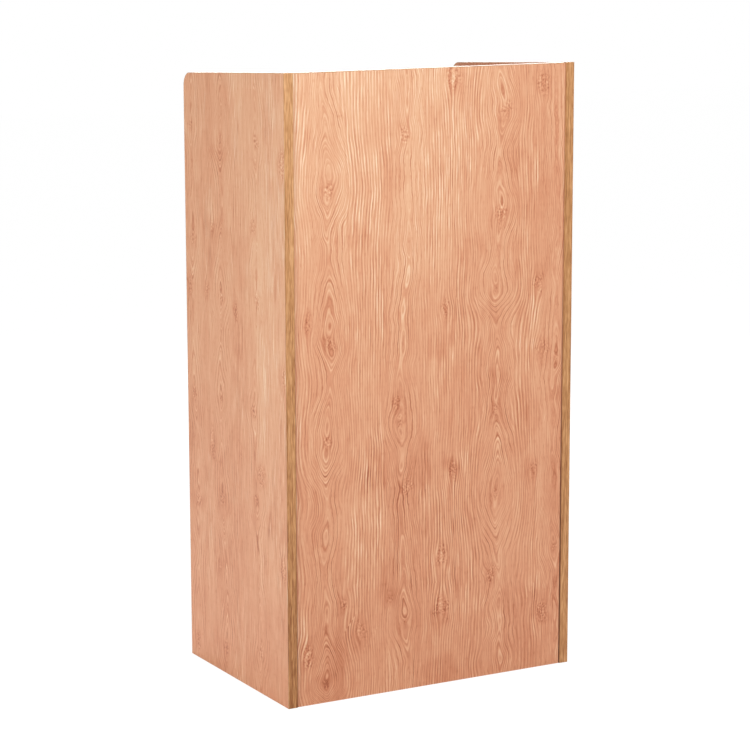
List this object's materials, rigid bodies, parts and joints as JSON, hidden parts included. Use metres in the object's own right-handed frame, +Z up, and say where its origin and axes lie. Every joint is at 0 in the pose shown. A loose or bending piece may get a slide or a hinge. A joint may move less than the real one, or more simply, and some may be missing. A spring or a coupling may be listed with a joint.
{
  "type": "presentation lectern",
  "caption": "Floor-standing open-back lectern of oak-print boards: tall front panel between two side panels, sloping reading top with paper stop, storage shelves behind.",
  "frame": {"origin": "centre of the footprint rectangle, on the floor", "axes": "+Z up; +X to the audience's right; -Y towards the audience (closed front); +Y towards the speaker (open back)"},
  "size_m": [0.6, 0.408, 1.143],
  "materials": {
    "oak_laminate_board": "satin oak-print melamine on chipboard",
    "oak_edge_band": "golden oak-print plastic edge band",
    "cast_zinc": "die-cast zinc",
    "zinc_plated_steel": "bright zinc plate",
    "nickel_plated_steel": "nickel plate",
    "beech_dowel": "plain fluted beech",
    "screw_cap_plastic": "moulded oak-coloured plastic"
  },
  "bodies": {
    "carcass": {"bottom_shelf": "oak_laminate_board", "bottom_shelf_cam_bolts": "zinc_plated_steel", "bottom_shelf_cam_locks": "cast_zinc", "bottom_shelf_dowels": "beech_dowel", "bottom_shelf_rear_band": "oak_edge_band", "fixed_shelf": "oak_laminate_board", "fixed_shelf_cam_bolts": "zinc_plated_steel", "fixed_shelf_cam_locks": "cast_zinc", "fixed_shelf_dowels": "beech_dowel", "fixed_shelf_rear_band": "oak_edge_band", "front_panel": "oak_laminate_board", "front_panel_cam_bolts": "zinc_plated_steel", "front_panel_cam_locks": "cast_zinc", "front_panel_dowels": "beech_dowel", "front_panel_top_band": "oak_edge_band", "left_side_front_band": "oak_edge_band", "left_side_panel": "oak_laminate_board", "left_side_top_rear_band": "oak_edge_band", "paper_stop": "oak_laminate_board", "paper_stop_screw_caps": "screw_cap_plastic", "paper_stop_screws": "zinc_plated_steel", "paper_stop_top_band": "oak_edge_band", "reading_top": "oak_laminate_board", "reading_top_cam_bolts": "zinc_plated_steel", "reading_top_cam_locks": "cast_zinc", "reading_top_dowels": "beech_dowel", "right_side_front_band": "oak_edge_band", "right_side_panel": "oak_laminate_board", "right_side_top_rear_band": "oak_edge_band", "toe_kick": "oak_laminate_board", "toe_kick_cam_bolts": "zinc_plated_steel", "toe_kick_cam_locks": "cast_zinc", "toe_kick_dowels": "beech_dowel"},
    "adjustable_shelf": {"adjustable_shelf": "oak_laminate_board", "adjustable_shelf_rear_band": "oak_edge_band"},
    "left_front_shelf_pin": {"left_front_shelf_pin": "nickel_plated_steel"},
    "left_rear_shelf_pin": {"left_rear_shelf_pin": "nickel_plated_steel"},
    "right_front_shelf_pin": {"right_front_shelf_pin": "nickel_plated_steel"},
    "right_rear_shelf_pin": {"right_rear_shelf_pin": "nickel_plated_steel"}
  },
  "joints": [
    {"name": "adjustable_shelf_lift", "type": "slide", "parent": "carcass", "child": "adjustable_shelf", "axis": [0, 0, 1], "range_m": [0, 0.192]},
    {"name": "left_front_pin_pull", "type": "slide", "parent": "carcass", "child": "left_front_shelf_pin", "axis": [1, 0, 0], "range_m": [0, 0.01]},
    {"name": "left_rear_pin_pull", "type": "slide", "parent": "carcass", "child": "left_rear_shelf_pin", "axis": [1, 0, 0], "range_m": [0, 0.01]},
    {"name": "right_front_pin_pull", "type": "slide", "parent": "carcass", "child": "right_front_shelf_pin", "axis": [-1, 0, 0], "range_m": [0, 0.01]},
    {"name": "right_rear_pin_pull", "type": "slide", "parent": "carcass", "child": "right_rear_shelf_pin", "axis": [-1, 0, 0], "range_m": [0, 0.01]}
  ]
}
